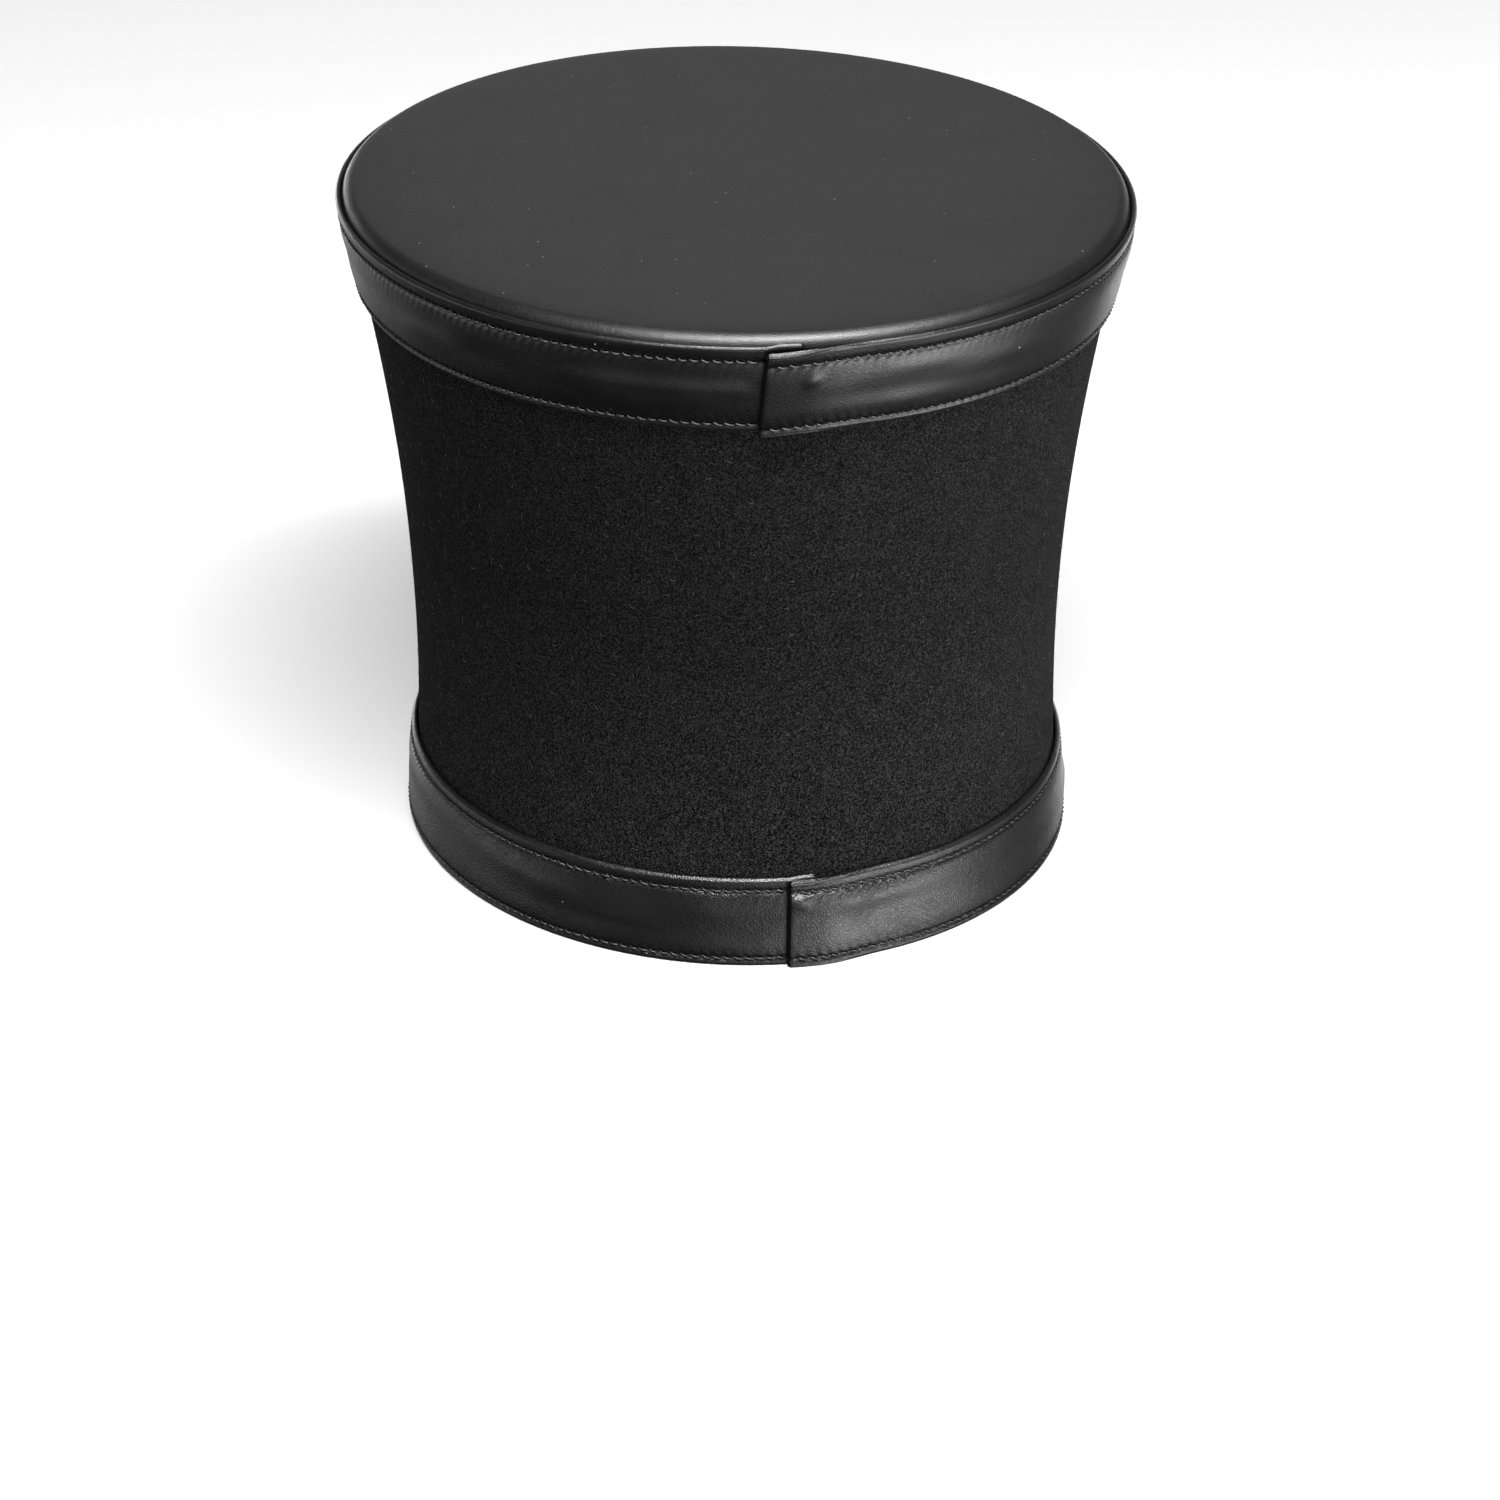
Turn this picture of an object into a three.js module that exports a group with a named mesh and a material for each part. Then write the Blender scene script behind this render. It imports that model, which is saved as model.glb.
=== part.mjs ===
// A black felt and leather shako: a flared oval crown, a domed leather top, two lapped bands and a peak.
// Millimetres, +Z up. The peak points to -Y, and the ends of the bands lap at the back, +Y.
// The origin is on the surface that the hat stands on, under the middle of its length and width.
import * as THREE from "three";

// Felt crown: four ovals of its outside, and the wall
const CROWN_OVALS = [
  { height: 0, halfWidth: 86.5, halfLength: 105.2 },
  { height: 57, halfWidth: 84.9, halfLength: 104.3 },
  { height: 114, halfWidth: 90.0, halfLength: 111.6 },
  { height: 171, halfWidth: 100.7, halfLength: 126.0 },
];
const CROWN_HEIGHT = 164;
const CROWN_WALL = 2.5;
const CROWN_ROWS = 9;

// Leather top: a lid with a short skirt behind the top band, a rounded edge, a soft shoulder and a dome
const GAP = 0.3;
const TOP_WALL = 2.5;
const TOP_EDGE_HEIGHT = 169.4;
const TOP_EDGE_RADIUS = 3.8;
const TOP_EDGE_TURN = THREE.MathUtils.degToRad(81);
const TOP_EDGE_STEPS = 5;
const TOP_SHOULDER = 7;
const TOP_SHOULDER_RISE = 1;
const TOP_DOME = 0.8;
const TOP_RING_SHARES = [0.95, 0.87, 0.7, 0.35];

// Leather bands: thickness at the folded edge, beside it, at a stitch row and in the puffed middle
const BAND_THICKNESS = { edge: 1.0, shoulder: 1.6, stitches: 1.4, middle: 1.9 };
const BAND_SHOULDER = 0.9;
const TOP_BAND = {
  bottom: 147.5,
  height: 23.1,
  lowerStitches: 1.9,
  upperStitches: 4,
  outerEnd: 7.5,
  lap: 10,
};
const HEAD_BAND = {
  bottom: 0,
  height: 23.4,
  lowerStitches: 2.1,
  upperStitches: 3.3,
  outerEnd: -1,
  lap: 8,
};
const LAP_EASE = 17;
const LAP_END_THINNING = 0.5;

// Leather peak: it grows out of the front of the head band and slopes gently down
const PEAK_PROJECTION = 46;
const PEAK_END_PROJECTION = 1.5;
const PEAK_HALF_ARC = THREE.MathUtils.degToRad(58);
const PEAK_ROOT_HEIGHT = 9.5;
const PEAK_THICKNESS = 3;
const PEAK_DROP = 8;
const PEAK_DROP_CURVE = 1.3;
const PEAK_SHARES = [0, 0.35, 0.7];

// The peak's rounded edge: share of the way out, and height as a share of the thickness
const PEAK_EDGE = [
  { share: 0.985, height: 0 },
  { share: 1, height: 0.3 },
  { share: 1, height: 0.7 },
  { share: 0.985, height: 1 },
];

// Steps round the hat, on the lapped stretch of a band, and across the peak
const ROUND_STEPS = 72;
const LAP_STEPS = 6;
const PEAK_STEPS = 28;
const BACK = Math.PI / 2;
const FRONT = -Math.PI / 2;

const felt = new THREE.MeshStandardMaterial({ color: 0x1d1d1f, roughness: 0.95, metalness: 0 });
const leather = new THREE.MeshStandardMaterial({ color: 0x26262a, roughness: 0.42, metalness: 0 });

// The half width and half length of the crown at a height: the one cubic through the four ovals
function ovalAt(height) {
  let halfWidth = 0;
  let halfLength = 0;
  for (const row of CROWN_OVALS) {
    let weight = 1;
    for (const other of CROWN_OVALS) {
      if (other !== row) weight *= (height - other.height) / (row.height - other.height);
    }
    halfWidth += weight * row.halfWidth;
    halfLength += weight * row.halfLength;
  }
  return { halfWidth, halfLength };
}

// A point at an angle round the crown, this far out from the felt's face at a height, lifted to z
function onOval(angle, height, out, z = height) {
  const { halfWidth, halfLength } = ovalAt(height);
  const across = Math.cos(angle);
  const along = Math.sin(angle);
  const normal = new THREE.Vector2(halfLength * across, halfWidth * along).normalize();
  return new THREE.Vector3(
    halfWidth * across + out * normal.x,
    halfLength * along + out * normal.y,
    z,
  );
}

function fullRing(height, out, z = height) {
  return Array.from({ length: ROUND_STEPS }, (_, i) =>
    onOval((2 * Math.PI * i) / ROUND_STEPS, height, out, z),
  );
}

// Joins rows of points into one closed body. A row runs counter-clockwise seen from above, and the rows
// climb the outside of the section. A row of one point is a pole.
function bodyFromRows(rows, { closedRows, closedSection }) {
  const starts = [];
  const positions = [];
  for (const row of rows) {
    starts.push(positions.length / 3);
    for (const point of row) positions.push(point.x, point.y, point.z);
  }
  const vertex = (r, i) => starts[r] + (rows[r].length === 1 ? 0 : i);
  const index = [];
  const joins = closedSection ? rows.length : rows.length - 1;
  for (let r = 0; r < joins; r++) {
    const next = (r + 1) % rows.length;
    const count = Math.max(rows[r].length, rows[next].length);
    for (let i = 0; i < (closedRows ? count : count - 1); i++) {
      const j = (i + 1) % count;
      if (rows[r].length > 1) index.push(vertex(r, i), vertex(r, j), vertex(next, j));
      if (rows[next].length > 1) index.push(vertex(r, i), vertex(next, j), vertex(next, i));
    }
  }
  if (!closedRows) closeEnds(rows, vertex, index);
  const geometry = new THREE.BufferGeometry();
  geometry.setAttribute("position", new THREE.Float32BufferAttribute(positions, 3));
  geometry.setIndex(index);
  geometry.computeVertexNormals();
  return geometry;
}

// Closes both ends of an open strip. Its section has as many rows outside as inside, so the end is a
// ladder of quads between outer row k and the inner row across from it.
function closeEnds(rows, vertex, index) {
  const last = rows[0].length - 1;
  for (let k = 0; k < rows.length / 2 - 1; k++) {
    const across = rows.length - 1 - k;
    const corners = [k, k + 1, across - 1, across];
    for (const [a, b, c] of [
      [0, 1, 2],
      [0, 2, 3],
    ]) {
      index.push(vertex(corners[a], 0), vertex(corners[b], 0), vertex(corners[c], 0));
      index.push(vertex(corners[a], last), vertex(corners[c], last), vertex(corners[b], last));
    }
  }
}

function makeCrown() {
  const heights = Array.from({ length: CROWN_ROWS }, (_, i) => (CROWN_HEIGHT * i) / (CROWN_ROWS - 1));
  const outside = heights.map((height) => fullRing(height, 0));
  const inside = heights.map((height) => fullRing(height, -CROWN_WALL)).reverse();
  return bodyFromRows([...outside, ...inside], { closedRows: true, closedSection: true });
}

// One face of the leather top, from the skirt's rim up to the pole, inset from the outside by a depth
function topFace(inset) {
  const radius = TOP_EDGE_RADIUS - inset;
  const rows = [fullRing(CROWN_HEIGHT + GAP, -inset)];
  for (let i = 0; i <= TOP_EDGE_STEPS; i++) {
    const turn = TOP_EDGE_TURN * (i / TOP_EDGE_STEPS);
    const out = -inset - radius * (1 - Math.cos(turn));
    rows.push(fullRing(TOP_EDGE_HEIGHT, out, TOP_EDGE_HEIGHT + radius * Math.sin(turn)));
  }
  const rim = rows.at(-1);
  const inwards = (point, share) => {
    const wayIn = (1 - share) * Math.hypot(point.x, point.y);
    const shoulder = TOP_SHOULDER_RISE * (1 - Math.exp(-wayIn / TOP_SHOULDER));
    const dome = TOP_DOME * (1 - share * share);
    return new THREE.Vector3(point.x * share, point.y * share, point.z + shoulder + dome);
  };
  for (const share of TOP_RING_SHARES) rows.push(rim.map((point) => inwards(point, share)));
  rows.push([inwards(rim[0], 0)]);
  return rows;
}

function makeCrownTop() {
  const rows = [...topFace(TOP_WALL).reverse(), ...topFace(0)];
  return bodyFromRows(rows, { closedRows: true, closedSection: false });
}

// The angle round the hat of a place at the back, given as its distance towards +X
function backAngle(distance, height) {
  return BACK - distance / ovalAt(height).halfWidth;
}

// A folded leather strip round the crown, whose outer end laps over its inner end at the back
function makeBand(band) {
  const top = band.bottom + band.height;
  const middle = band.bottom + band.height / 2;
  const outerEnd = backAngle(band.outerEnd, middle);
  const lapStart = backAngle(band.outerEnd - band.lap, middle);
  const easeStart = backAngle(band.outerEnd - band.lap - LAP_EASE, middle);
  const innerEnd = lapStart + 2 * Math.PI;
  const angles = [];
  for (let i = 0; i < LAP_STEPS; i++) {
    angles.push(THREE.MathUtils.lerp(outerEnd, easeStart, i / LAP_STEPS));
  }
  for (let i = 0; i <= ROUND_STEPS; i++) {
    angles.push(THREE.MathUtils.lerp(easeStart, innerEnd, i / ROUND_STEPS));
  }

  const section = [
    { z: band.bottom, thickness: BAND_THICKNESS.edge },
    { z: band.bottom + BAND_SHOULDER, thickness: BAND_THICKNESS.shoulder },
    { z: band.bottom + band.lowerStitches, thickness: BAND_THICKNESS.stitches },
    { z: middle, thickness: BAND_THICKNESS.middle },
    { z: top - band.upperStitches, thickness: BAND_THICKNESS.stitches },
    { z: top - BAND_SHOULDER, thickness: BAND_THICKNESS.shoulder },
    { z: top, thickness: BAND_THICKNESS.edge },
  ];
  const lift = BAND_THICKNESS.middle + GAP;
  const point = (angle, row, isOutside) => {
    const lapped = 1 - THREE.MathUtils.smoothstep(angle, lapStart, easeStart);
    const thickness = row.thickness - LAP_END_THINNING * lapped;
    const out = GAP + lift * lapped + (isOutside ? thickness : 0);
    return onOval(angle, row.z, out);
  };
  const outside = section.map((row) => angles.map((angle) => point(angle, row, true)));
  const inside = section.map((row) => angles.map((angle) => point(angle, row, false))).reverse();
  return bodyFromRows([...outside, ...inside], { closedRows: false, closedSection: true });
}

// The peak's outline swells from nothing at its ends to the full projection in the middle
function makePeak() {
  const root = GAP + BAND_THICKNESS.middle + GAP;
  const angles = Array.from({ length: PEAK_STEPS + 1 }, (_, i) =>
    THREE.MathUtils.lerp(FRONT - PEAK_HALF_ARC, FRONT + PEAK_HALF_ARC, i / PEAK_STEPS),
  );
  const point = (angle, share, lift) => {
    const swell = Math.cos(((angle - FRONT) / PEAK_HALF_ARC) * (Math.PI / 2));
    const projection = PEAK_END_PROJECTION + (PEAK_PROJECTION - PEAK_END_PROJECTION) * swell;
    const out = share * projection;
    const drop = PEAK_DROP * (out / PEAK_PROJECTION) ** PEAK_DROP_CURVE;
    return onOval(angle, PEAK_ROOT_HEIGHT, root + out, PEAK_ROOT_HEIGHT - drop + lift);
  };
  const row = (share, lift) => angles.map((angle) => point(angle, share, lift));
  const underside = PEAK_SHARES.map((share) => row(share, 0));
  const topside = PEAK_SHARES.map((share) => row(share, PEAK_THICKNESS));
  const edge = PEAK_EDGE.map(({ share, height }) => row(share, height * PEAK_THICKNESS));
  const rows = [...underside, ...edge, ...topside.reverse()];
  return bodyFromRows(rows, { closedRows: false, closedSection: true });
}

function pieceOf(name, geometry, material) {
  const mesh = new THREE.Mesh(geometry, material.clone());
  mesh.name = name;
  return mesh;
}

const hat = new THREE.Group();
hat.add(
  pieceOf("crown", makeCrown(), felt),
  pieceOf("crown_top", makeCrownTop(), leather),
  pieceOf("top_band", makeBand(TOP_BAND), leather),
  pieceOf("head_band", makeBand(HEAD_BAND), leather),
  pieceOf("peak", makePeak(), leather),
);

// The peak reaches further than the back, so the hat is moved to stand with its middle over the origin
const reach = new THREE.Box3().setFromObject(hat).getCenter(new THREE.Vector3());
hat.position.set(-reach.x, -reach.y, 0);

const shako = new THREE.Group();
shako.add(hat);

export default shako;
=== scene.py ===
import math

import bpy
import numpy as np
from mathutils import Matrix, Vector


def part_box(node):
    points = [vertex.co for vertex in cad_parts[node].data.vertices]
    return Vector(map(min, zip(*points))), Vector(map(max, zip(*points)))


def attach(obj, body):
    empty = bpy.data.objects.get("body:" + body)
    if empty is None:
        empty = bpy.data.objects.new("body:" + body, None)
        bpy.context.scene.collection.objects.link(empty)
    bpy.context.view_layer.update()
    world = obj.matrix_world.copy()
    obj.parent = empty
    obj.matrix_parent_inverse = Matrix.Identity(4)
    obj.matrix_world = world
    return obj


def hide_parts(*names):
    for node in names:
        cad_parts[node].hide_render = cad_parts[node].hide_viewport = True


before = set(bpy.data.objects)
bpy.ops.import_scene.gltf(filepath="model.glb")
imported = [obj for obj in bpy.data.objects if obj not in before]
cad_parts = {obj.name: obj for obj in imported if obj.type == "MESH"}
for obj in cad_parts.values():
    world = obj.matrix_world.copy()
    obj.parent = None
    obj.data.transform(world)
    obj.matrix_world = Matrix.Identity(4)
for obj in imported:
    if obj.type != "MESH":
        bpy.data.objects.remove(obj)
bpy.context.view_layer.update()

MM = 0.001
BODY = "root"

# Camera: the photograph's angle, distance and lens, aimed at a point low in the crown
CAMERA_AZIMUTH = math.radians(173.4)
CAMERA_ELEVATION = math.radians(23.9)
CAMERA_DISTANCE = 1300 * MM
CAMERA_AIM = Vector((-4.0, 0.5, 12.1)) * MM
CAMERA_LENS_MM = 115.65

# The felt crown: ovals of its outside from the base up, and its wall
CROWN_OVALS = (
    {"height": 0 * MM, "half_width": 86.5 * MM, "half_length": 105.2 * MM},
    {"height": 57 * MM, "half_width": 84.9 * MM, "half_length": 104.3 * MM},
    {"height": 114 * MM, "half_width": 90.0 * MM, "half_length": 111.6 * MM},
    {"height": 171 * MM, "half_width": 100.7 * MM, "half_length": 126.0 * MM},
)
CROWN_HEIGHT = 164 * MM
CROWN_WALL = 2.5 * MM
CROWN_EDGE = 0.8 * MM
CROWN_UNEVEN = 0.25 * MM
EVEN_BELOW = 20 * MM
UNEVEN_ABOVE = 50 * MM
CROWN_COLUMNS = 360

# The leather top: a shallow lid with a rounded edge, a soft shoulder inside it and a slight dome
TOP_SKIRT_HEIGHT = 164.3 * MM
TOP_EDGE_HEIGHT = 169.4 * MM
TOP_EDGE_RADIUS = 3.8 * MM
TOP_EDGE_TURN = math.radians(81)
TOP_SHOULDER = 8.0 * MM
TOP_SHOULDER_RISE = 1.3 * MM
TOP_DOME = 0.8 * MM
TOP_WALL = 2.5 * MM
TOP_UNEVEN = 0.10 * MM
TOP_SKIRT = 2 * MM
TOP_COLUMNS = 300
TOP_RINGS = 46
TOP_RING_CROWDING = 1.7
TOP_REACH = 0.985
TOP_EDGE_FADE = 0.05
GATHERS_RADIUS = 110 * MM
GATHERS_SIZE = 1.3 * MM

# The bands: folded leather strips, sewn along both edges, whose outer end laps over the inner end
BAND_GAP = 0.3 * MM
FOLD_RADIUS = 0.5 * MM
BEAD_THICKNESS = 1.4 * MM
BEAD_RISE = 1.0 * MM
GROOVE_DEPTH = 0.32 * MM
GROOVE_WIDTH = 0.8 * MM
PADDING = 0.35 * MM
PADDING_RUN = 4.5 * MM

# How finely a band is drawn and measured
ROW_MARGIN = 1.5 * MM
FACE_STEPS = (13, 14, 16)
LINING_STEPS = 5
FOLD_TURNS = np.radians([25, 55, 75, 90, 105, 125, 155])
MEASURING_STEPS = 4000

# What the thread does to the leather: dimples at the holes, and puckers that come and go along the band
PINCH_DEPTH = 0.20 * MM
PINCH_WIDTH = 0.8 * MM
PUCKER_HEIGHT = 0.09 * MM
PUCKER_LEAST = 0.3
PUCKER_START = 0.4 * MM
PUCKER_PEAK = 1.0 * MM
PUCKER_REACH = 2.2 * MM
PUCKER_TURN_PER_MM = 1.4
PULL_RUN = 23 * MM
PULL_DRIFT_RUN = 61 * MM

# The laps, and the outer end, where the layers of the fold step back and a slit shows between them
LAP_EASE = 17 * MM
LAP_LIFT = 2.2 * MM
LAP_THINNING = 0.4 * MM
LAP_OPENING = (0.6, 1.5)
DROP_RUN = 9 * MM
INNER_RISE_RUN = 5 * MM
END_ROUNDING = 1.3 * MM
END_LEAST = 0.2
END_STATIONS = np.array([0.05, 0.2, 0.45, 0.8]) * MM
LAYER_STEP = 0.8 * MM
STEP_RUN = 3.5 * MM
SLIT_DEPTH = 1.0 * MM
SLIT_HALF_WIDTH = 0.01

# Where the leather is painted pale: worn on its edges, and a painted highlight on puffs that stand out this
# far
PALE_WEAR_AND_SHEEN = 0.8
PALE_WEAR_AND_SHEEN_EDGE = 0.7 * MM
PALE_WEAR_AND_SHEEN_RISE = 0.4 * MM

TOP_BAND = {
    "name": "top_band",
    "bottom": 147.5 * MM,
    "height": 23.1 * MM,
    "lower_row": 1.9 * MM,
    "upper_row": 4.0 * MM,
    "outer_end": 7.5 * MM,
    "lap": 10 * MM,
    "inner_rise": 0.7 * MM,
    "drop": 1.0 * MM,
    "lean": 1.6 * MM,
    "seed": 21,
}
HEAD_BAND = {
    "name": "head_band",
    "bottom": 0 * MM,
    "height": 23.4 * MM,
    "lower_row": 2.1 * MM,
    "upper_row": 3.3 * MM,
    "outer_end": -1 * MM,
    "lap": 8 * MM,
    "inner_rise": 0.5 * MM,
    "drop": 0.0 * MM,
    "lean": 0.4 * MM,
    "seed": 34,
}

# Puffs of the leather: where they are along the band and up it, their size, and how far they stand out
TOP_BAND["puffs"] = (
    {"along": 11.3 * MM, "rise": 15.0 * MM, "length": 1.9 * MM, "width": 1.4 * MM, "out": 1.05 * MM},
    {"along": 38.0 * MM, "rise": 15.0 * MM, "length": 16 * MM, "width": 2.4 * MM, "out": 0.50 * MM},
    {"along": 34.0 * MM, "rise": 6.5 * MM, "length": 14 * MM, "width": 2.2 * MM, "out": 0.45 * MM},
    {"along": 62.0 * MM, "rise": 12.5 * MM, "length": 17 * MM, "width": 2.6 * MM, "out": 0.50 * MM},
    {"along": -21.0 * MM, "rise": 11.8 * MM, "length": 26 * MM, "width": 1.9 * MM, "out": 0.75 * MM},
    {"along": -105.0 * MM, "rise": 9.0 * MM, "length": 18 * MM, "width": 3.4 * MM, "out": 0.40 * MM},
)
HEAD_BAND["puffs"] = (
    {"along": 3.0 * MM, "rise": 17.6 * MM, "length": 2.4 * MM, "width": 1.5 * MM, "out": 1.0 * MM},
    {"along": 24.0 * MM, "rise": 16.0 * MM, "length": 15 * MM, "width": 2.4 * MM, "out": 0.35 * MM},
    {"along": 30.0 * MM, "rise": 8.0 * MM, "length": 18 * MM, "width": 3.4 * MM, "out": 0.40 * MM},
    {"along": -14.0 * MM, "rise": 5.5 * MM, "length": 14 * MM, "width": 2.6 * MM, "out": 0.40 * MM},
    {"along": -20.0 * MM, "rise": 14.5 * MM, "length": 12 * MM, "width": 2.2 * MM, "out": 0.20 * MM},
)
PUFFS_FADE = 6 * MM

# Small puffs and hollows all round. Their rise is a share of the band's height, and the limits below it
# are in millimetres.
LOOSE_PUFFS = {
    "count": 46,
    "margin": 20 * MM,
    "rise": (0.25, 0.75),
    "length": (5, 24),
    "width": (1.8, 4.0),
    "out": (-0.30, 0.42),
}

# The peak
PEAK_PROJECTION = 46 * MM
PEAK_END_PROJECTION = 1.5 * MM
PEAK_HALF_ARC = math.radians(58)
PEAK_ROOT_HEIGHT = 9.5 * MM
PEAK_ROOT_OUT = 2.5 * MM
PEAK_THICKNESS = 3 * MM
PEAK_DROP = 8 * MM
PEAK_DROP_CURVE = 1.3
PEAK_ROW = 3.2 * MM

# Thread
STITCH_PITCH = 2.7 * MM
STITCH_LENGTH = 1.9 * MM
STITCH_SLANT = 0.45 * MM
STITCH_ARCH = 0.26 * MM
STITCH_LIFT = 0.08 * MM
STITCH_FOOT = 0.6
STITCH_STEPS = 6
STITCH_SIDES = 6
STITCH_SIZES = (0.88, 1.08)
STITCH_SWAY = (0.12, 0.10, 0.16)
THREAD_RADIUS = 0.28 * MM
SAMPLES_PER_STITCH = 5

# Loose fibres on the felt
FIBRE_DENSITY = 30000
FIBRE_LENGTH = 1.1 * MM
FIBRE_RADIUS = 0.02 * MM
FIBRE_STEPS = 4
FIBRE_SIDES = 3
FIBRE_BEND = {"Middle": {"X": 0.5, "Y": 0.3, "Z": 0.25}, "End": {"X": 1.0, "Z": 0.05}}
FIBRE_SIZES = (0.4, 1.5)
FIBRE_TURN_LOW = (-0.15, -0.25, 0)
FIBRE_TURN_HIGH = (0.15, 0.05, 2 * math.pi)

BACK = math.pi / 2
FRONT = -math.pi / 2

crown_low, crown_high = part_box("crown")
MIDDLE = (crown_low + crown_high) / 2


# Camera, first of all

def make_camera():
    back = Vector((
        math.sin(CAMERA_AZIMUTH) * math.cos(CAMERA_ELEVATION),
        -math.cos(CAMERA_AZIMUTH) * math.cos(CAMERA_ELEVATION),
        math.sin(CAMERA_ELEVATION),
    ))
    camera = bpy.data.objects.new("camera", bpy.data.cameras.new("camera"))
    bpy.context.scene.collection.objects.link(camera)
    camera.data.lens = CAMERA_LENS_MM
    camera.data.clip_end = 20
    aim = CAMERA_AIM + Vector((MIDDLE.x, MIDDLE.y, 0))
    camera.location = aim + back * CAMERA_DISTANCE
    camera.rotation_mode = "QUATERNION"
    camera.rotation_quaternion = (-back).to_track_quat("-Z", "Y")
    bpy.context.scene.camera = camera


make_camera()


# Node trees

class Socket:
    """An output of a node. Arithmetic on it adds Math nodes to its node tree."""

    def __init__(self, tree, output):
        self.tree = tree
        self.output = output

    def maths(self, operation, first, second):
        return add_node(self.tree, "ShaderNodeMath", {"operation": operation}, {0: first, 1: second})

    def __add__(self, other):
        return self.maths("ADD", self, other)

    def __radd__(self, other):
        return self.maths("ADD", other, self)

    def __sub__(self, other):
        return self.maths("SUBTRACT", self, other)

    def __rsub__(self, other):
        return self.maths("SUBTRACT", other, self)

    def __mul__(self, other):
        return self.maths("MULTIPLY", self, other)

    def __rmul__(self, other):
        return self.maths("MULTIPLY", other, self)

    def __truediv__(self, other):
        return self.maths("DIVIDE", self, other)

    def __abs__(self):
        return add_node(self.tree, "ShaderNodeMath", {"operation": "ABSOLUTE"}, {0: self})


def add_node(tree, kind, settings=None, inputs=None, output=0):
    """Adds a node with its settings first, then the values or links of its sockets"""
    node = tree.nodes.new(kind)
    for name, value in (settings or {}).items():
        if name == "stops":
            set_stops(node.color_ramp, value)
        else:
            setattr(node, name, value)
    for name, value in (inputs or {}).items():
        if isinstance(value, Socket):
            tree.links.new(value.output, node.inputs[name])
        else:
            node.inputs[name].default_value = value
    return Socket(tree, node.outputs[output])


def grey(value):
    return (value, value, value, 1)


def set_stops(colour_ramp, stops):
    while len(colour_ramp.elements) < len(stops):
        colour_ramp.elements.new(1.0)
    for element, (position, value) in zip(colour_ramp.elements, stops):
        element.position = position
        element.color = grey(value)


def vector_maths(tree, operation, inputs, output=0):
    return add_node(tree, "ShaderNodeVectorMath", {"operation": operation}, inputs, output)


def ramp(tree, value, stops):
    return add_node(tree, "ShaderNodeValToRGB", {"stops": stops}, {"Fac": value})


def mix_colour(tree, factor, first, second):
    """Mixes two colours. The node's colour sockets are its seventh and eighth inputs and third output."""
    settings = {"data_type": "RGBA"}
    return add_node(tree, "ShaderNodeMix", settings, {0: factor, 6: first, 7: second}, output=2)


def noise(tree, place, size, detail=2.0, roughness=0.5, distortion=0.0):
    """Noise whose grains are about this size in metres"""
    inputs = {
        "Vector": place,
        "Scale": 1 / size,
        "Detail": detail,
        "Roughness": roughness,
        "Distortion": distortion,
    }
    return add_node(tree, "ShaderNodeTexNoise", None, inputs)


def new_material(name):
    material = bpy.data.materials.new(name)
    material.use_nodes = True
    material.node_tree.nodes.clear()
    return material, material.node_tree


def object_place(tree):
    return add_node(tree, "ShaderNodeTexCoord", None, None, output="Object")


def height_share(tree, height):
    """Height above the floor as a share of a height"""
    rise = add_node(tree, "ShaderNodeSeparateXYZ", None, {"Vector": object_place(tree)}, output="Z")
    return rise / height


def attribute(tree, name, output="Fac"):
    return add_node(tree, "ShaderNodeAttribute", {"attribute_name": name}, None, output=output)


def drawn_out(tree, place, turn, stretch):
    """Turns a pattern about Z, then draws it out along X: a stretch of 0.2 makes it five times as long"""
    turned = add_node(tree, "ShaderNodeMapping", None, {"Vector": place, "Rotation": (0, 0, turn)})
    return add_node(tree, "ShaderNodeMapping", None, {"Vector": turned, "Scale": (stretch, 1, 1)})


def bump(tree, height, distance, strength):
    inputs = {"Strength": strength, "Distance": distance, "Height": height}
    return add_node(tree, "ShaderNodeBump", None, inputs)


def finish_material(tree, shader_inputs):
    shader = add_node(tree, "ShaderNodeBsdfPrincipled", None, shader_inputs)
    sink = tree.nodes.new("ShaderNodeOutputMaterial")
    tree.links.new(shader.output, sink.inputs["Surface"])


# Materials

def make_felt():
    """Black wool felt: a dark ground crossed by short fibres that catch the light, in soft clumps. The
    fibres are painted lighter towards the bottom of the crown: painted light from below.
    """
    material, tree = new_material("black_felt")
    place = object_place(tree)
    fibres = noise(tree, place, 0.38 * MM, detail=2, roughness=0.7, distortion=0.5)
    tufts = noise(tree, place, 0.9 * MM, detail=2, roughness=0.7)
    clumps = noise(tree, place, 7 * MM, detail=2, roughness=0.6)
    clouds = noise(tree, place, 45 * MM, detail=1)
    stand = ramp(tree, fibres * 0.76 + tufts * 0.20 + clumps * 0.04, ((0.46, 0.0), (0.70, 1.0)))
    base = mix_colour(tree, clouds, grey(0.0010), grey(0.0016))
    # painted light from below: the fibres are painted lighter low on the crown and darker higher up
    low = ramp(tree, height_share(tree, 100 * MM), ((0.20, 1.0), (0.90, 0.0)))
    colour = mix_colour(tree, stand, base, mix_colour(tree, low, grey(0.021), grey(0.038)))
    height = fibres * 0.6 + tufts * 0.5 + clumps * 0.2
    finish_material(tree, {
        "Base Color": colour,
        "Roughness": 1.0,
        "Specular IOR Level": 0.02,
        "Normal": bump(tree, height, 0.4 * MM, 0.8),
    })
    return material


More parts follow.
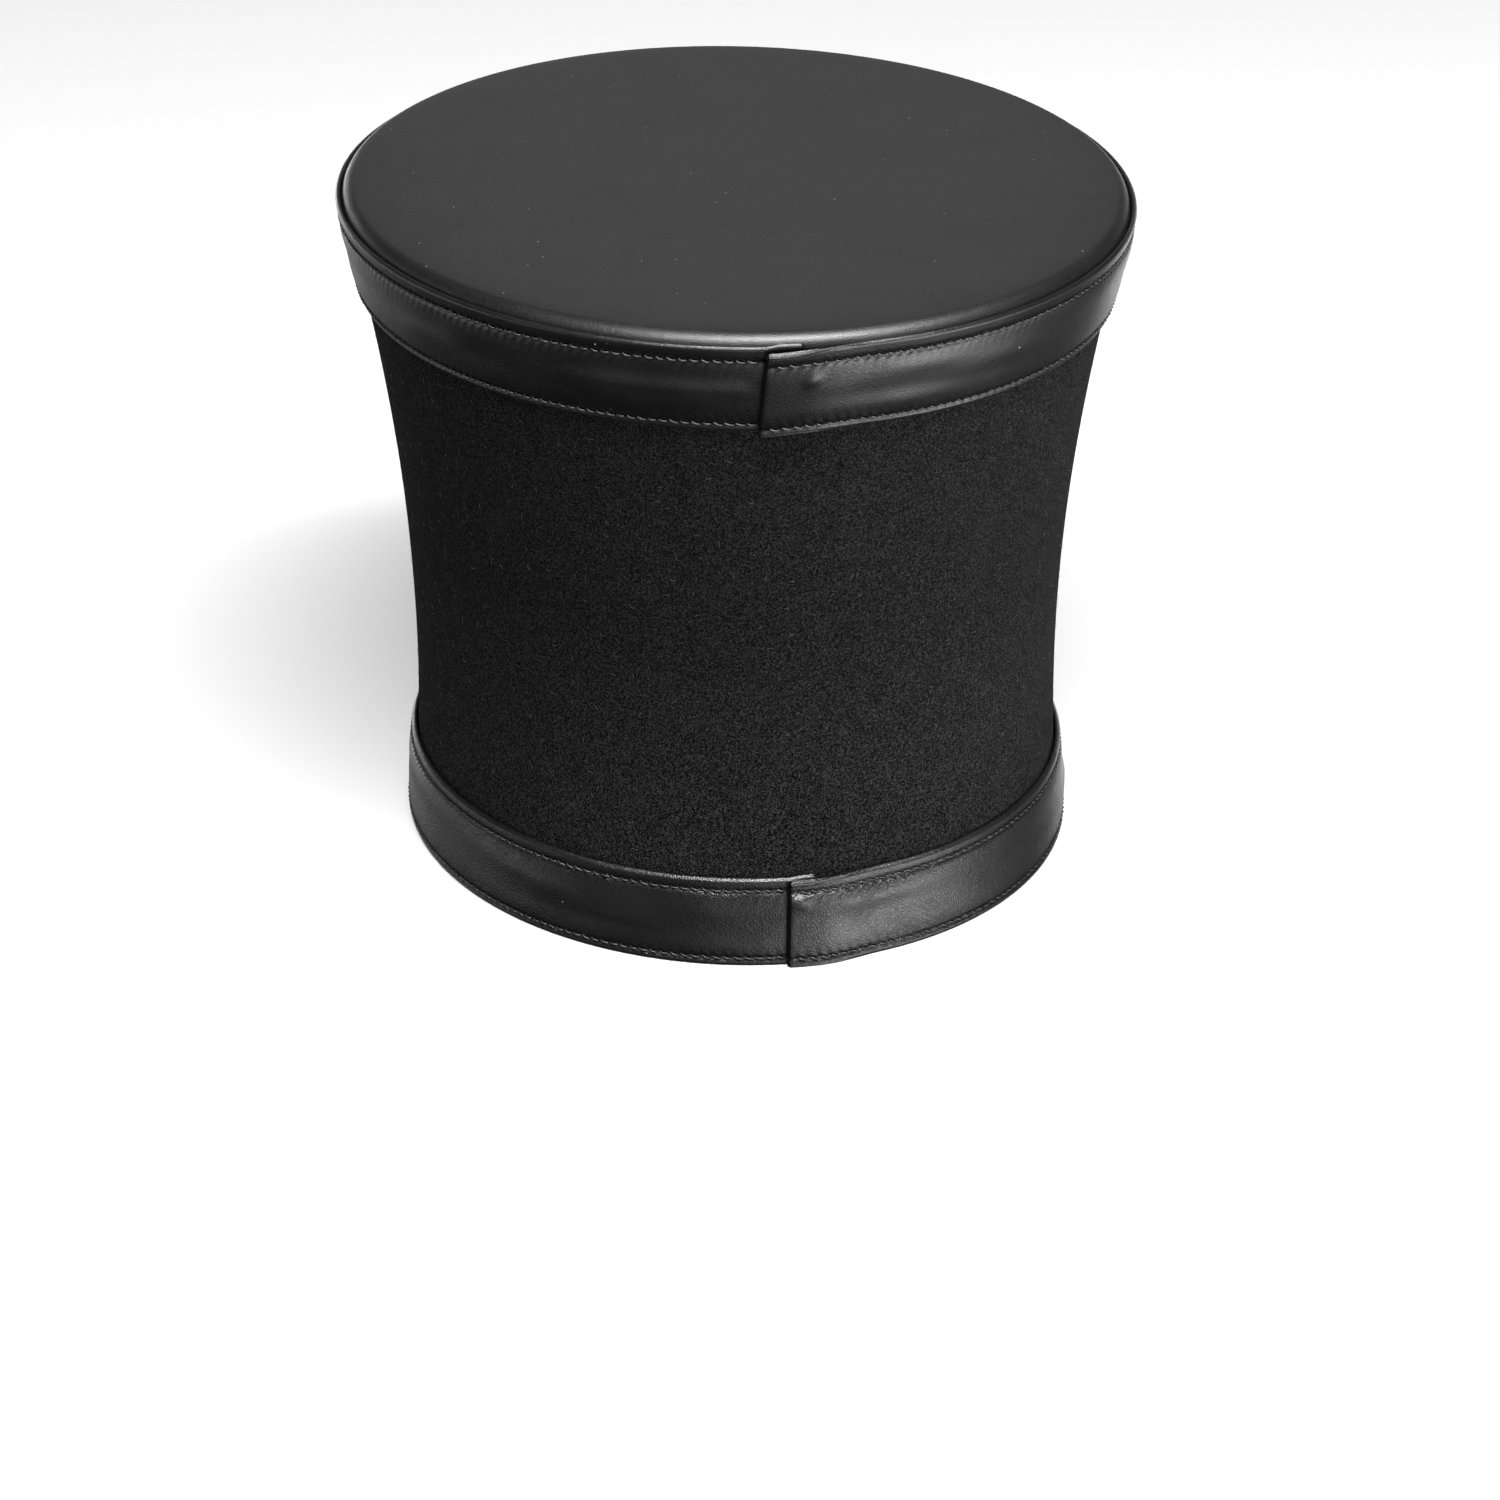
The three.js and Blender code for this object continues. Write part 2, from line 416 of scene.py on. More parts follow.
def creases(tree, place, turn, length, spacing):
    """Fine lines in patches, all running about one way"""
    lines = noise(tree, drawn_out(tree, place, turn, spacing / length), spacing, distortion=0.4)
    patches = noise(tree, place, 3 * length, detail=1)
    line = ramp(tree, abs(lines - 0.5), ((0.0, 1.0), (0.06, 0.0)))
    return line * ramp(tree, patches, ((0.45, 0.0), (0.60, 1.0)))


def gathers(tree, place):
    """Fine folds that run over the rounded edge of the top, across its rim"""
    level = {0: place, 1: (1, 1, 0), 2: (-MIDDLE.x, -MIDDLE.y, 0)}
    across = vector_maths(tree, "MULTIPLY_ADD", level)
    spoke = vector_maths(tree, "NORMALIZE", {0: across})
    round_rim = vector_maths(tree, "SCALE", {0: spoke, "Scale": GATHERS_RADIUS})
    return noise(tree, round_rim, GATHERS_SIZE, detail=2) * attribute(tree, "edge")


def make_leather(name, sewn, grain_size, grain, gloss, shine):
    """Black grained leather: small pebbles parted by fine creases, paler where it is worn and where a
    highlight is painted on its puffs
    """
    material, tree = new_material(name)
    place = attribute(tree, "strip_place", "Vector") if sewn else object_place(tree)
    jitter = add_node(tree, "ShaderNodeTexNoise", None, {"Vector": place, "Scale": 450.0}, output="Color")
    push = (0.7 * MM, 0.7 * MM, 0.7 * MM)
    pushed = vector_maths(tree, "MULTIPLY_ADD", {0: jitter, 1: push, 2: place})
    cells = {"Vector": pushed, "Scale": 1 / grain_size}
    edges = add_node(tree, "ShaderNodeTexVoronoi", {"feature": "DISTANCE_TO_EDGE"}, cells)
    pebble = ramp(tree, edges, ((0.0, 0.0), (0.30, 1.0)))
    pores = noise(tree, place, 0.3 * MM, detail=2, roughness=0.7)
    dents = noise(tree, place, 5 * MM, detail=2)
    lines = creases(tree, place, 0.6, 8 * MM, 0.8 * MM) + creases(tree, place, -0.4, 6 * MM, 0.7 * MM)
    height = pebble * 0.5 + pores * 0.2 + dents * 1.4 - lines * 0.4
    if not sewn:
        height = height + gathers(tree, place) * 1.6
    patches = noise(tree, place, 16 * MM, detail=3)
    # paler colour: real wear on the edges, and a painted highlight on the raised puffs of the bands
    rubbed = attribute(tree, "rubbed") * ramp(tree, pores * 0.5 + patches * 0.5, ((0.40, 0.3), (0.60, 1.0)))
    specks = add_node(tree, "ShaderNodeTexVoronoi", {"feature": "F1"}, {"Vector": place, "Scale": 140.0})
    dust = ramp(tree, specks, ((0.025, 1.0), (0.040, 0.0)))
    base = mix_colour(tree, patches, grey(0.0010), grey(0.0024))
    creased = mix_colour(tree, (1 - pebble) * 0.5 + lines * 0.5, base, grey(0.0012))
    wear_and_sheen_colour = mix_colour(tree, rubbed, creased, grey(0.006))
    finish_material(tree, {
        "Base Color": mix_colour(tree, dust * 0.6, wear_and_sheen_colour, grey(0.20)),
        "Roughness": gloss + patches * 0.10 + (1 - pebble) * 0.12,
        "Specular IOR Level": shine,
        "Normal": bump(tree, height, 0.20 * MM, grain),
    })
    return material


def make_cut_edge_with_painted_shade():
    """The dull black cut edge at the outer end of a band, which reflects almost nothing: a real cut edge
    that also stands as painted shade for the dark gap at the lap's end
    """
    material, tree = new_material("cut_edge_with_painted_shade")
    fibres = noise(tree, object_place(tree), 0.5 * MM, detail=2)
    colour = mix_colour(tree, fibres, grey(0.0005), grey(0.002))
    finish_material(tree, {
        "Base Color": colour,
        "Roughness": 0.9,
        "Specular IOR Level": 0.05,
        "Normal": bump(tree, fibres, 0.1 * MM, 0.5),
    })
    return material


def make_thread():
    """Black waxed thread"""
    material, tree = new_material("waxed_thread")
    place = object_place(tree)
    wax = noise(tree, place, 0.8 * MM, detail=2)
    colour = mix_colour(tree, wax, grey(0.008), grey(0.024))
    finish_material(tree, {
        "Base Color": colour,
        "Roughness": wax * 0.2 + 0.32,
        "Specular IOR Level": 0.5,
    })
    return material


def make_fibre():
    material, tree = new_material("felt_fibre")
    place = object_place(tree)
    colour = mix_colour(tree, noise(tree, place, 6 * MM), grey(0.015), grey(0.07))
    finish_material(tree, {"Base Color": colour, "Roughness": 0.7})
    return material


def make_floor_paint():
    """Pale paint that glows a little, and further out as much as the air above it, so that no edge shows"""
    material, tree = new_material("pale_floor")
    place = object_place(tree)
    away = vector_maths(tree, "LENGTH", {0: place}, output="Value")
    far = ramp(tree, away / FLOOR_FADE, ((0.22, 0.0), (0.55, 1.0)))
    colour = mix_colour(tree, noise(tree, place, 0.4, detail=2), grey(0.50), grey(0.52))
    finish_material(tree, {
        "Base Color": colour,
        "Roughness": 0.9,
        "Specular IOR Level": 0.1,
        "Emission Color": mix_colour(tree, far, grey(0.28), grey(1)),
        "Emission Strength": 1.0,
    })
    return material


FELT = make_felt()
TOP_BAND["leather"] = make_leather(
    "top_band_leather", sewn=True, grain_size=0.7 * MM, grain=0.28, gloss=0.24, shine=0.60,
)
HEAD_BAND["leather"] = make_leather(
    "head_band_leather", sewn=True, grain_size=0.8 * MM, grain=0.45, gloss=0.24, shine=0.60,
)
TOP_LEATHER = make_leather(
    "top_leather", sewn=False, grain_size=0.7 * MM, grain=0.22, gloss=0.33, shine=0.80,
)
CUT_EDGE_WITH_PAINTED_SHADE = make_cut_edge_with_painted_shade()
THREAD = make_thread()
FIBRE = make_fibre()


# Shapes

def smoothstep(value, low, high):
    share = np.clip((value - low) / (high - low), 0, 1)
    return share * share * (3 - 2 * share)


def bell(distance, width):
    return np.exp(-((distance / width) ** 2))


def oval_at(height):
    """Half width and half length of the crown's outside, from the cubic through the four ovals"""
    height = np.asarray(height, float)
    half_width = np.zeros_like(height)
    half_length = np.zeros_like(height)
    for row in CROWN_OVALS:
        weight = np.ones_like(height)
        for other in CROWN_OVALS:
            if other is not row:
                weight = weight * (height - other["height"]) / (row["height"] - other["height"])
        half_width = half_width + weight * row["half_width"]
        half_length = half_length + weight * row["half_length"]
    return half_width, half_length


def outward_at(angle, height):
    """The level direction that faces out from the crown at an angle round it"""
    half_width, half_length = oval_at(height)
    x = half_length * np.cos(angle)
    y = half_width * np.sin(angle)
    length = np.hypot(x, y)
    return x / length, y / length


def on_oval(angle, height, out, z=None):
    """Points round the crown, this far out from the felt's face at a height, lifted to z"""
    half_width, half_length = oval_at(height)
    out_x, out_y = outward_at(angle, height)
    x = MIDDLE.x + half_width * np.cos(angle) + out * out_x
    y = MIDDLE.y + half_length * np.sin(angle) + out * out_y
    return np.stack(np.broadcast_arrays(x, y, height if z is None else z), axis=-1)


def waves(angle, height, seed):
    """Smooth unevenness between about -1 and 1, the same on every run"""
    chance = np.random.default_rng(seed)
    total = 0
    for turns, rise in ((2, 18), (3, 31), (5, 12), (7, 40), (11, 25)):
        shift = chance.uniform(0, 2 * np.pi, 2)
        total = total + np.sin(turns * angle + rise * height + shift[0]) * np.cos(rise * height + shift[1])
    return total / 3


def grid_faces(rows, columns, wrap_rows, wrap_columns):
    row = np.arange(rows if wrap_rows else rows - 1)
    column = np.arange(columns if wrap_columns else columns - 1)
    row, column = np.meshgrid(row, column, indexing="ij")
    next_row = (row + 1) % rows
    next_column = (column + 1) % columns
    corners = [
        row * columns + column,
        row * columns + next_column,
        next_row * columns + next_column,
        next_row * columns + column,
    ]
    return np.stack(corners, axis=-1).reshape(-1, 4).tolist()


def end_faces(rows, columns):
    """The two faces that close the ends of a tube of points"""
    first = [row * columns for row in range(rows)]
    last = [row * columns + columns - 1 for row in reversed(range(rows))]
    return [first, last]


def add_piece(name, points, faces, material, marks=None):
    """A smooth mesh object. marks holds a number or a place for each point, such as how pale it is painted
    for wear and painted highlight.
    """
    mesh = bpy.data.meshes.new(name)
    mesh.from_pydata(np.asarray(points).reshape(-1, 3).tolist(), [], faces)
    for mark, values in (marks or {}).items():
        values = np.asarray(values, np.float32)
        is_place = values.ndim == 3
        layer = mesh.attributes.new(mark, "FLOAT_VECTOR" if is_place else "FLOAT", "POINT")
        layer.data.foreach_set("vector" if is_place else "value", values.ravel())
    mesh.shade_smooth()
    mesh.materials.append(material)
    piece = bpy.data.objects.new(name, mesh)
    bpy.context.scene.collection.objects.link(piece)
    return piece


def place_piece(piece, slot, *nodes):
    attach(piece, BODY)
    if nodes:
        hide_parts(*nodes)


# Felt crown

def crown_outside(angle, heights):
    rows = []
    for height in heights:
        uneven = CROWN_UNEVEN * waves(angle, height, seed=3) * smoothstep(height, EVEN_BELOW, UNEVEN_ABOVE)
        rows.append(on_oval(angle, height, uneven - CROWN_UNEVEN * 0.5))
    return rows


def make_crown():
    angle = np.linspace(0, 2 * np.pi, CROWN_COLUMNS, endpoint=False)
    outside = crown_outside(angle, np.linspace(CROWN_EDGE, CROWN_HEIGHT, 90))
    inside = [on_oval(angle, height, -CROWN_WALL) for height in np.linspace(CROWN_HEIGHT, CROWN_EDGE, 30)]
    edge = []
    for turn in np.linspace(0, np.pi, 8)[1:-1]:
        out = -CROWN_WALL / 2 - CROWN_WALL / 2 * math.cos(turn)
        edge.append(on_oval(angle, CROWN_EDGE, out, CROWN_EDGE * (1 - math.sin(turn))))
    rows = np.array([*outside, *inside, *edge])
    faces = grid_faces(*rows.shape[:2], wrap_rows=True, wrap_columns=True)
    return add_piece("felt_crown", rows, faces, FELT)


# Leather top

def top_face(angle, inset):
    """One face of the top from its skirt to near its middle, and how near its rounded edge each row is"""
    radius = TOP_EDGE_RADIUS - inset
    rows = [on_oval(angle, TOP_SKIRT_HEIGHT + lift, -inset) for lift in (0, TOP_SKIRT)]
    for turn in np.linspace(0, TOP_EDGE_TURN, 16):
        out = -inset - radius * (1 - math.cos(turn))
        rows.append(on_oval(angle, TOP_EDGE_HEIGHT, out, TOP_EDGE_HEIGHT + radius * math.sin(turn)))
    rim = rows[-1]
    edge = [1.0] * len(rows)
    pole = np.array([MIDDLE.x, MIDDLE.y, rim[0, 2]])
    spokes = np.linalg.norm(rim - pole, axis=1)
    for way_in in np.linspace(0, 1, TOP_RINGS)[1:] ** TOP_RING_CROWDING * TOP_REACH:
        share = 1 - way_in
        row = pole + (rim - pole) * share
        shoulder = TOP_SHOULDER_RISE * (1 - np.exp(-way_in * spokes / TOP_SHOULDER))
        dome = TOP_DOME * (1 - share * share)
        uneven = TOP_UNEVEN * waves(angle, share, seed=8) * smoothstep(share, 1.0, 0.8) * share
        row[:, 2] += shoulder + dome + uneven
        rows.append(row)
        edge.append(float(bell(way_in, TOP_EDGE_FADE)))
    return rows, edge


def make_top():
    columns = TOP_COLUMNS
    angle = np.linspace(0, 2 * np.pi, columns, endpoint=False)
    inner, inner_edge = top_face(angle, TOP_WALL)
    outer, outer_edge = top_face(angle, 0)
    rows = np.array([*reversed(inner), *outer])
    edge = np.repeat([*reversed(inner_edge), *outer_edge], columns).reshape(-1, columns)
    faces = grid_faces(*rows.shape[:2], wrap_rows=False, wrap_columns=True)
    faces.append(list(reversed(range(columns))))
    faces.append(list(range((len(rows) - 1) * columns, len(rows) * columns)))
    return add_piece("leather_top", rows, faces, TOP_LEATHER, {"rubbed": edge * 0.0, "edge": edge})


# Bands

def leather_thickness(rise, band):
    """Thickness of a band at a height above its lower edge, without puffs and pinches"""
    edge = np.minimum(rise, band["height"] - rise)
    row = np.where(rise < band["height"] / 2, band["lower_row"], band["upper_row"])
    bead = 2 * FOLD_RADIUS + (BEAD_THICKNESS - 2 * FOLD_RADIUS) * smoothstep(edge, 0, BEAD_RISE)
    groove = GROOVE_DEPTH * bell(edge - row, GROOVE_WIDTH)
    return bead - groove + PADDING * smoothstep(edge, row, row + PADDING_RUN)


def band_section(band):
    """The closed outline of a band's section: rise, part, and how far round its fold a point is"""
    height = band["height"]
    low = band["lower_row"] + ROW_MARGIN
    high = height - band["upper_row"] - ROW_MARGIN
    face = np.concatenate([
        np.linspace(FOLD_RADIUS, low, FACE_STEPS[0])[:-1],
        np.linspace(low, high, FACE_STEPS[1])[:-1],
        np.linspace(high, height - FOLD_RADIUS, FACE_STEPS[2]),
    ])
    section = [{"rise": rise, "part": "face", "turn": 0} for rise in face]
    section += [{"rise": height - FOLD_RADIUS, "part": "fold", "turn": turn} for turn in FOLD_TURNS]
    lining = np.linspace(height - FOLD_RADIUS, FOLD_RADIUS, LINING_STEPS)
    section += [{"rise": rise, "part": "lining", "turn": 0} for rise in lining]
    section += [{"rise": FOLD_RADIUS, "part": "fold", "turn": turn + np.pi} for turn in FOLD_TURNS]
    return section


class Strip:
    """Stations along a band by their distance from its outer end"""

    def __init__(self, band):
        middle = band["bottom"] + band["height"] / 2
        start = BACK - band["outer_end"] / oval_at(middle)[0]
        fine = np.linspace(start, start + 2 * np.pi, MEASURING_STEPS)
        steps = np.linalg.norm(np.diff(on_oval(fine, middle, BEAD_THICKNESS), axis=0), axis=1)
        self.band = band
        self.fine_angle = fine
        self.fine_distance = np.concatenate([[0], np.cumsum(steps)])
        self.girth = self.fine_distance[-1]
        self.length = self.girth + band["lap"]
        self.puffs = [*band["puffs"], *self.loose_puffs()]

    def loose_puffs(self):
        """Small puffs and hollows all round the band, the same on every run"""
        chance = np.random.default_rng(self.band["seed"])
        for _ in range(LOOSE_PUFFS["count"]):
            yield {
                "along": chance.uniform(LOOSE_PUFFS["margin"], self.girth - LOOSE_PUFFS["margin"]),
                "rise": chance.uniform(*LOOSE_PUFFS["rise"]) * self.band["height"],
                "length": chance.uniform(*LOOSE_PUFFS["length"]) * MM,
                "width": chance.uniform(*LOOSE_PUFFS["width"]) * MM,
                "out": chance.uniform(*LOOSE_PUFFS["out"]) * MM,
            }

    def angle(self, distance):
        """The angle round the hat. Past one full turn it goes on from the start."""
        turns = np.floor(distance / self.girth)
        rest = distance - turns * self.girth
        return np.interp(rest, self.fine_distance, self.fine_angle) + turns * 2 * np.pi

    def lapped(self, distance):
        return 1 - smoothstep(distance, self.band["lap"], self.band["lap"] + LAP_EASE)

    def puffed(self, distance, rise):
        """How far puffs lift the leather. The end that lies under the lap has none."""
        total = 0 * distance
        for puff in self.puffs:
            along = puff["along"] % self.girth
            across = bell(rise - puff["rise"], puff["width"])
            total += puff["out"] * bell(distance - along, puff["length"]) * across
        return total * smoothstep(self.girth - distance, 0, PUFFS_FADE)

    def face(self, distance, rise):
        """Thickness from the strip's inner face to its outer face"""
        plain = leather_thickness(rise, self.band) - LAP_THINNING * self.lapped(distance)
        return plain + self.puffed(distance, rise)

    def surface(self, distance, rise, thickness):
        """Points at a thickness above the strip's inner face"""
        lapped = self.lapped(distance)
        lean = self.band["lean"] * (rise / self.band["height"] - 0.5) * lapped
        height = self.band["bottom"] + rise
        out = BAND_GAP + LAP_LIFT * lapped + thickness
        share = smoothstep(rise, 0, self.band["height"])
        under = smoothstep(distance, self.girth, self.girth + INNER_RISE_RUN)
        raised = self.band["inner_rise"] * share * under
        dropped = self.band["drop"] * bell(distance, DROP_RUN)
        return on_oval(self.angle(distance + lean), height, out, height + raised - dropped)


def pinched(distance, rise, band):
    """How far the thread pulls the leather in: dimples at the holes, puckers that fan out from them"""
    phase = 2 * np.pi * distance / STITCH_PITCH
    strong = 0.5 + 0.5 * np.sin(distance / PULL_RUN + 2.0 * np.sin(distance / PULL_DRIFT_RUN))
    total = 0
    for row in (band["lower_row"], band["height"] - band["upper_row"]):
        away = rise - row
        inward = away if row < band["height"] / 2 else -away
        dimple = PINCH_DEPTH * bell(away, PINCH_WIDTH) * (0.5 + 0.5 * np.cos(phase))
        fan = smoothstep(inward, PUCKER_START, PUCKER_PEAK) * bell(inward - PUCKER_PEAK, PUCKER_REACH)
        size = PUCKER_HEIGHT * (PUCKER_LEAST + (1 - PUCKER_LEAST) * strong)
        ripple = size * np.cos(phase + PUCKER_TURN_PER_MM * inward / MM)
        total = total + dimple + fan * ripple
    return total


def band_row(strip, point, distance):
    """One row of a band's points along the strip, how pale they are painted (wear on the edges, painted
    highlight on the puffs), and their place on the strip
    """
    band = strip.band
    rise = point["rise"]
    opened = 1 - smoothstep(distance, LAP_OPENING[0] * band["lap"], LAP_OPENING[1] * band["lap"])
    is_top = rise > band["height"] / 2
    lift = FOLD_RADIUS * math.sin(point["turn"])
    if point["part"] == "face":
        thickness = strip.face(distance, rise) - pinched(distance, rise, band)
        near_fold = smoothstep(rise, band["height"] - STEP_RUN, band["height"] - FOLD_RADIUS)
        lift = lift - LAYER_STEP * opened * near_fold
    elif point["part"] == "fold":
        thickness = FOLD_RADIUS * (1 + math.cos(point["turn"])) * (1 + 0.5 * opened * is_top)
        split = math.cos(point["turn"])
        if is_top and split > SLIT_HALF_WIDTH:
            lift = lift - LAYER_STEP * opened
        elif is_top and split > -SLIT_HALF_WIDTH:
            lift = lift - (LAYER_STEP + SLIT_DEPTH) * opened
    else:
        thickness = 0 * distance
    to_end = np.minimum(distance, strip.length - distance) / END_ROUNDING
    rounding = END_LEAST + (1 - END_LEAST) * np.sqrt(1 - (1 - np.clip(to_end, 0, 1)) ** 2)
    tucked = (1 - rounding) * END_ROUNDING * (1 - 2 * rise / band["height"])
    edge = min(rise, band["height"] - rise) - FOLD_RADIUS
    # raised puffs are painted pale as a painted highlight; the pale edges are wear
    raised = strip.puffed(distance, rise) / PALE_WEAR_AND_SHEEN_RISE * (point["part"] == "face")
    rubbed = np.clip(PALE_WEAR_AND_SHEEN * (bell(edge, PALE_WEAR_AND_SHEEN_EDGE) + raised), 0, 1)
    place = np.stack(np.broadcast_arrays(distance, rise + lift, thickness), axis=-1)
    return strip.surface(distance, rise + lift + tucked, thickness * rounding), rubbed, place


def make_band(band):
    strip = Strip(band)
    steps = round(strip.length / STITCH_PITCH) * SAMPLES_PER_STITCH
    even = np.linspace(0, strip.length, steps + 1)
    distance = np.sort(np.concatenate([even, END_STATIONS, strip.length - END_STATIONS]))
    parts = [band_row(strip, point, distance) for point in band_section(band)]
    rows, rubbed, place = (np.array(part) for part in zip(*parts))
    faces = grid_faces(*rows.shape[:2], wrap_rows=True, wrap_columns=False)
    faces += end_faces(*rows.shape[:2])
    marks = {"rubbed": rubbed, "strip_place": place}
    piece = add_piece("leather_" + band["name"], rows, faces, band["leather"], marks)
    # the ends of the strip take the cut edge material: a real cut edge, made black and dull as painted
    # shade for the gap at the lap
    piece.data.materials.append(CUT_EDGE_WITH_PAINTED_SHADE)
    is_cut_with_painted_shade = np.zeros(len(faces), np.int32)
    is_cut_with_painted_shade[:-2] = np.tile(distance[:-1] < END_STATIONS[-1], len(rows))
    is_cut_with_painted_shade[-2] = 1
    piece.data.polygons.foreach_set("material_index", is_cut_with_painted_shade)
    return piece, strip


# Peak

def peak_angles(count):
    return np.linspace(FRONT - PEAK_HALF_ARC, FRONT + PEAK_HALF_ARC, count)


def peak_row(angle, share, inset, lift):
    """Points a share of the way out along the peak and an inset back, which shrinks at the narrow ends"""
    swell = np.cos((angle - FRONT) / PEAK_HALF_ARC * (np.pi / 2))
    projection = PEAK_END_PROJECTION + (PEAK_PROJECTION - PEAK_END_PROJECTION) * swell
    out = share * projection - inset * np.minimum(1, projection / (3 * PEAK_ROW))
    drop = PEAK_DROP * (out / PEAK_PROJECTION) ** PEAK_DROP_CURVE
    return on_oval(angle, PEAK_ROOT_HEIGHT, PEAK_ROOT_OUT + out, PEAK_ROOT_HEIGHT - drop + lift)


def peak_groove(inset):
    return GROOVE_DEPTH * bell(inset - PEAK_ROW, GROOVE_WIDTH)


def make_peak():
    angle = peak_angles(221)
    radius = PEAK_THICKNESS / 2
    insets = np.linspace(radius, 2 * PEAK_ROW, 14)
    shares = np.linspace(0, 1, 24)[:-1]
    under = [peak_row(angle, share, insets[-1] * share, 0) for share in shares]
    under += [peak_row(angle, 1, inset, peak_groove(inset)) for inset in reversed(insets)]
    edge = [
        peak_row(angle, 1, radius - radius * math.cos(turn), radius + radius * math.sin(turn))
        for turn in np.linspace(-np.pi / 2, np.pi / 2, 12)[1:-1]
    ]
    over = [peak_row(angle, 1, inset, PEAK_THICKNESS - peak_groove(inset)) for inset in insets]
    over += [peak_row(angle, share, insets[-1] * share, PEAK_THICKNESS) for share in reversed(shares)]
    rows = np.array([*under, *edge, *over])
    faces = grid_faces(*rows.shape[:2], wrap_rows=True, wrap_columns=False)
    faces += end_faces(*rows.shape[:2])
    rubbed = np.zeros(rows.shape[:2])
    rubbed[len(under):len(under) + len(edge)] = 1
    return add_piece("leather_peak", rows, faces, TOP_LEATHER, {"rubbed": rubbed, "edge": rubbed * 0})


# Stitches and fibres by Geometry Nodes

def new_tree(name, sizes):
    """A tree with a named input for each size and for the material, and those inputs"""
    tree = bpy.data.node_groups.new(name, "GeometryNodeTree")
    tree.interface.new_socket("Geometry", in_out="INPUT", socket_type="NodeSocketGeometry")
    for size, value in sizes.items():
        socket = tree.interface.new_socket(size, in_out="INPUT", socket_type="NodeSocketFloat")
        socket.default_value = value
    tree.interface.new_socket("Material", in_out="INPUT", socket_type="NodeSocketMaterial")
    tree.interface.new_socket("Geometry", in_out="OUTPUT", socket_type="NodeSocketGeometry")
    group = tree.nodes.new("NodeGroupInput")
    return tree, {socket.name: Socket(tree, socket) for socket in group.outputs if socket.name}


def bent_strand(tree, bend, sides, radius):
    """A closed strand along a bend, which names its start, middle, end and steps"""
    curve = add_node(tree, "GeometryNodeCurveQuadraticBezier", None, bend)
    ring = add_node(tree, "GeometryNodeCurvePrimitiveCircle", None, {"Resolution": sides, "Radius": radius})
    inputs = {"Curve": curve, "Profile Curve": ring, "Fill Caps": True}
    return add_node(tree, "GeometryNodeCurveToMesh", None, inputs)


def turned_on(tree, turn, low, high, seed):
    """Turns each copy further about its own axes, by angles drawn between two limits"""
    limits = {0: low, 1: high, "Seed": seed}
    angles = add_node(tree, "FunctionNodeRandomValue", {"data_type": "FLOAT_VECTOR"}, limits)
    inputs = {"Rotation": turn, "Rotate By": angles}
    return add_node(tree, "FunctionNodeRotateRotation", {"rotation_space": "LOCAL"}, inputs)


def finish_copies(tree, points, shape, turn, sizes, seed, material):
    """Puts a copy of the shape on each point, in a size drawn between two limits, and makes them real"""
    limits = {2: sizes[0], 3: sizes[1], "Seed": seed}
    size = add_node(tree, "FunctionNodeRandomValue", {"data_type": "FLOAT"}, limits, output=1)
    inputs = {"Points": points, "Instance": shape, "Rotation": turn, "Scale": size}
    placed = add_node(tree, "GeometryNodeInstanceOnPoints", None, inputs)
    real = add_node(tree, "GeometryNodeRealizeInstances", None, {"Geometry": placed})
    done = add_node(tree, "GeometryNodeSetMaterial", None, {"Geometry": real, "Material": material})
    result = tree.nodes.new("NodeGroupOutput")
    tree.links.new(done.output, result.inputs["Geometry"])


def stitch_tree():
    """Puts one arched, slanted stitch of thread on each point, lying on the leather"""
    tree, given = new_tree("stitches", {
        "Length": STITCH_LENGTH,
        "Slant": STITCH_SLANT,
        "Arch": STITCH_ARCH,
        "Thread radius": THREAD_RADIUS,
    })
    half = given["Length"] * 0.5
    half_slant = given["Slant"] * 0.5
    foot = given["Arch"] * -STITCH_FOOT
    start = add_node(tree, "ShaderNodeCombineXYZ", None, {"X": half * -1, "Y": half_slant, "Z": foot})
    top = add_node(tree, "ShaderNodeCombineXYZ", None, {"Z": given["Arch"] * (2 + STITCH_FOOT)})
    end = add_node(tree, "ShaderNodeCombineXYZ", None, {"X": half, "Y": half_slant * -1, "Z": foot})
    arch = {"Resolution": STITCH_STEPS, "Start": start, "Middle": top, "End": end}
    stitch = bent_strand(tree, arch, STITCH_SIDES, given["Thread radius"])
    stitch = add_node(tree, "GeometryNodeSetShadeSmooth", None, {"Geometry": stitch, "Shade Smooth": True})
    facing = {}
    for name in ("outward", "onward"):
        settings = {"data_type": "FLOAT_VECTOR"}
        facing[name] = add_node(tree, "GeometryNodeInputNamedAttribute", settings, {"Name": name})
    axes = {"primary_axis": "Z", "secondary_axis": "X"}
    inputs = {"Primary Axis": facing["outward"], "Secondary Axis": facing["onward"]}
    laid = add_node(tree, "FunctionNodeAxesToRotation", axes, inputs)
    swayed = turned_on(tree, laid, [-angle for angle in STITCH_SWAY], STITCH_SWAY, seed=6)
    finish_copies(tree, given["Geometry"], stitch, swayed, STITCH_SIZES, 3, given["Material"])
    return tree


